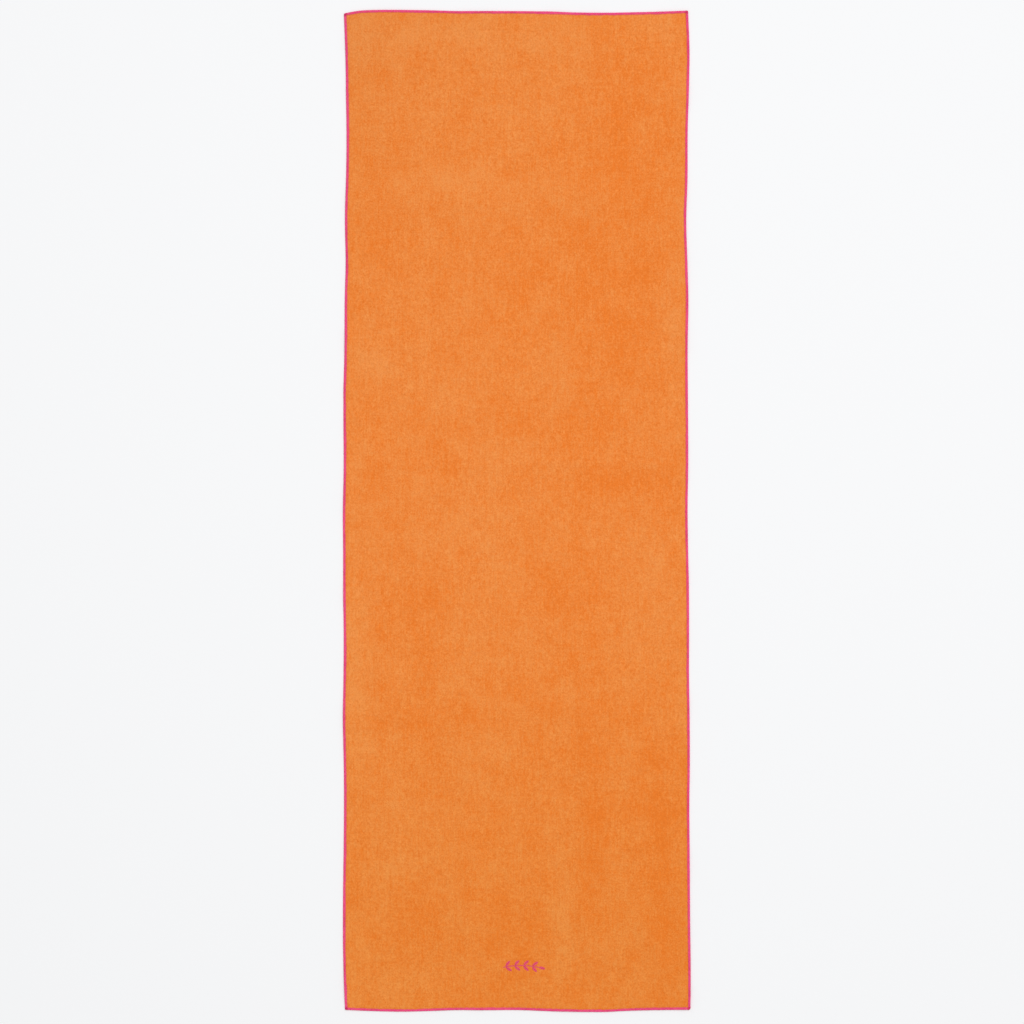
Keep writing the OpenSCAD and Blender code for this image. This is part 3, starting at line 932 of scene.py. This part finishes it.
def satin_run(starts, ends, low, top):
    """A thread that crosses from each start to its end and on to the next start, arching over the cloth
    between its holes."""
    zig = np.stack([starts, ends], 1)
    zig[1::2] = zig[1::2, ::-1]
    shares = np.array([0.0, 0.10, 0.30, 0.70, 0.90, 1.0])
    bulge = np.array([0.0, 0.62, 1.0, 1.0, 0.62, 0.0])
    flat = zig[:, :1] + (zig[:, 1:] - zig[:, :1]) * shares[None, :, None]
    length = np.linalg.norm(zig[:, 1] - zig[:, 0], axis=1)
    arch = low + (top - low) * bulge[None] * np.minimum(length / LONG_STRAND, 1.0)[:, None] ** 0.5
    x, y = flat[..., 0].ravel(), flat[..., 1].ravel()
    path = np.stack([x, y, lift(x, y) + arch.ravel()], 1)
    return path, np.tile([0.0, 0.0, 1.0], (len(path), 1))


def leaf_strands(foot, tip, width, side, pitch, share_of_width=1.0):
    """The ends of the strands of one half of a leaf: along the vein, and along that side's edge."""
    axis = tip - foot
    length = float(np.linalg.norm(axis))
    forward = axis / length
    outward = side * np.array([-forward[1], forward[0]])
    at_vein = np.arange(0.01, 0.93, pitch / length)
    at_edge = np.minimum(at_vein + LEAF_LEAN * (1 - 0.55 * at_vein), 0.985)
    vein = foot + at_vein[:, None] * axis + VEIN_GAP * outward
    reach_out = np.maximum(leaf_half(at_edge, length, width) * share_of_width, 1.6 * VEIN_GAP)
    edge = foot + at_edge[:, None] * axis + reach_out[:, None] * outward
    return vein, edge


def stem_strands(stem, width, pitch):
    """The ends of the strands that cross the stem, leaning a little."""
    steps = np.linalg.norm(np.diff(stem, axis=0), axis=1)
    along = np.concatenate([[0], np.cumsum(steps)])
    at = np.arange(0.1 * MM, along[-1] + 0.2 * MM, pitch)
    centre = np.stack([np.interp(at, along, stem[:, i]) for i in (0, 1)], 1)
    forward = unit(np.gradient(centre, axis=0))
    across = np.stack([-forward[:, 1], forward[:, 0]], 1)
    lean = STEM_LEAN * width * forward
    return centre - across * width / 2 - lean, centre + across * width / 2 + lean


def make_sprig(top_material, bobbin_material):
    """Satin stitch over each leaf, in two halves that meet at its vein, and over the stem."""
    made = []
    low = CLOTH_T - SPRIG_SINK
    top = CLOTH_T + SATIN_TOP
    stem, stem_w = stem_line()
    yarn = Yarn("sprig_stem_satin", SATIN_HALF_W, SATIN_HALF_H, SATIN_FACES, bake_rows=4)
    yarn.run(*satin_run(*stem_strands(stem, stem_w, SATIN_PITCH), low, top))
    made.append(settle(yarn.build(top_material), "embroidery_thread", "sprig_stem"))
    bobbin = Yarn("sprig_bobbin_yarn", BOBBIN_HALF_W, BOBBIN_HALF_H, SATIN_FACES)
    strands = stem_strands(stem, BOBBIN_SHARE * stem_w, BOBBIN_PITCH)
    bobbin.run(*satin_run(*strands, BOBBIN_ENDS, BOBBIN_MIDDLE))
    leaves = sorted(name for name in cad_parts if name.startswith("sprig_leaf_"))
    for node in leaves:
        foot, tip, width = leaf_axis(node, stem)
        yarn = Yarn(f"{node}_satin", SATIN_HALF_W, SATIN_HALF_H, SATIN_FACES, bake_rows=2)
        for side in (-1, 1):
            yarn.run(*satin_run(*leaf_strands(foot, tip, width, side, SATIN_PITCH), low, top))
            strands = leaf_strands(foot, tip, width, side, BOBBIN_PITCH, BOBBIN_SHARE)
            bobbin.run(*satin_run(*strands, BOBBIN_ENDS, BOBBIN_MIDDLE))
        made.append(settle(yarn.build(top_material), "embroidery_thread", node))
    made.append(settle(bobbin.build(bobbin_material), "bobbin_thread", "sprig_bobbin_thread"))
    return made


# ---------------------------------------------------------------- the scene

make_camera()
studio_floor = make_floor()
make_light()

cloth = make_cloth(microfibre())
edge_yarn = yarn_material(
    "edge_yarn", linear(250, 77, 144), linear(208, 25, 94),
    roughness=0.66, twists_per_metre=420, ply_depth=0.16 * MM, unevenness=2.0,
)
satin_yarn = yarn_material(
    "satin_yarn", linear(236, 84, 122), linear(192, 36, 84),
    roughness=0.42, twists_per_metre=620, ply_depth=0.06 * MM, unevenness=0.5,
)
bobbin_yarn = yarn_material(
    "bobbin_yarn", linear(236, 112, 142), linear(196, 66, 100),
    roughness=0.55, twists_per_metre=620, ply_depth=0.05 * MM, unevenness=0.5,
)
threads = make_seams(edge_yarn) + make_sprig(satin_yarn, bobbin_yarn)

bpy.context.view_layer.update()
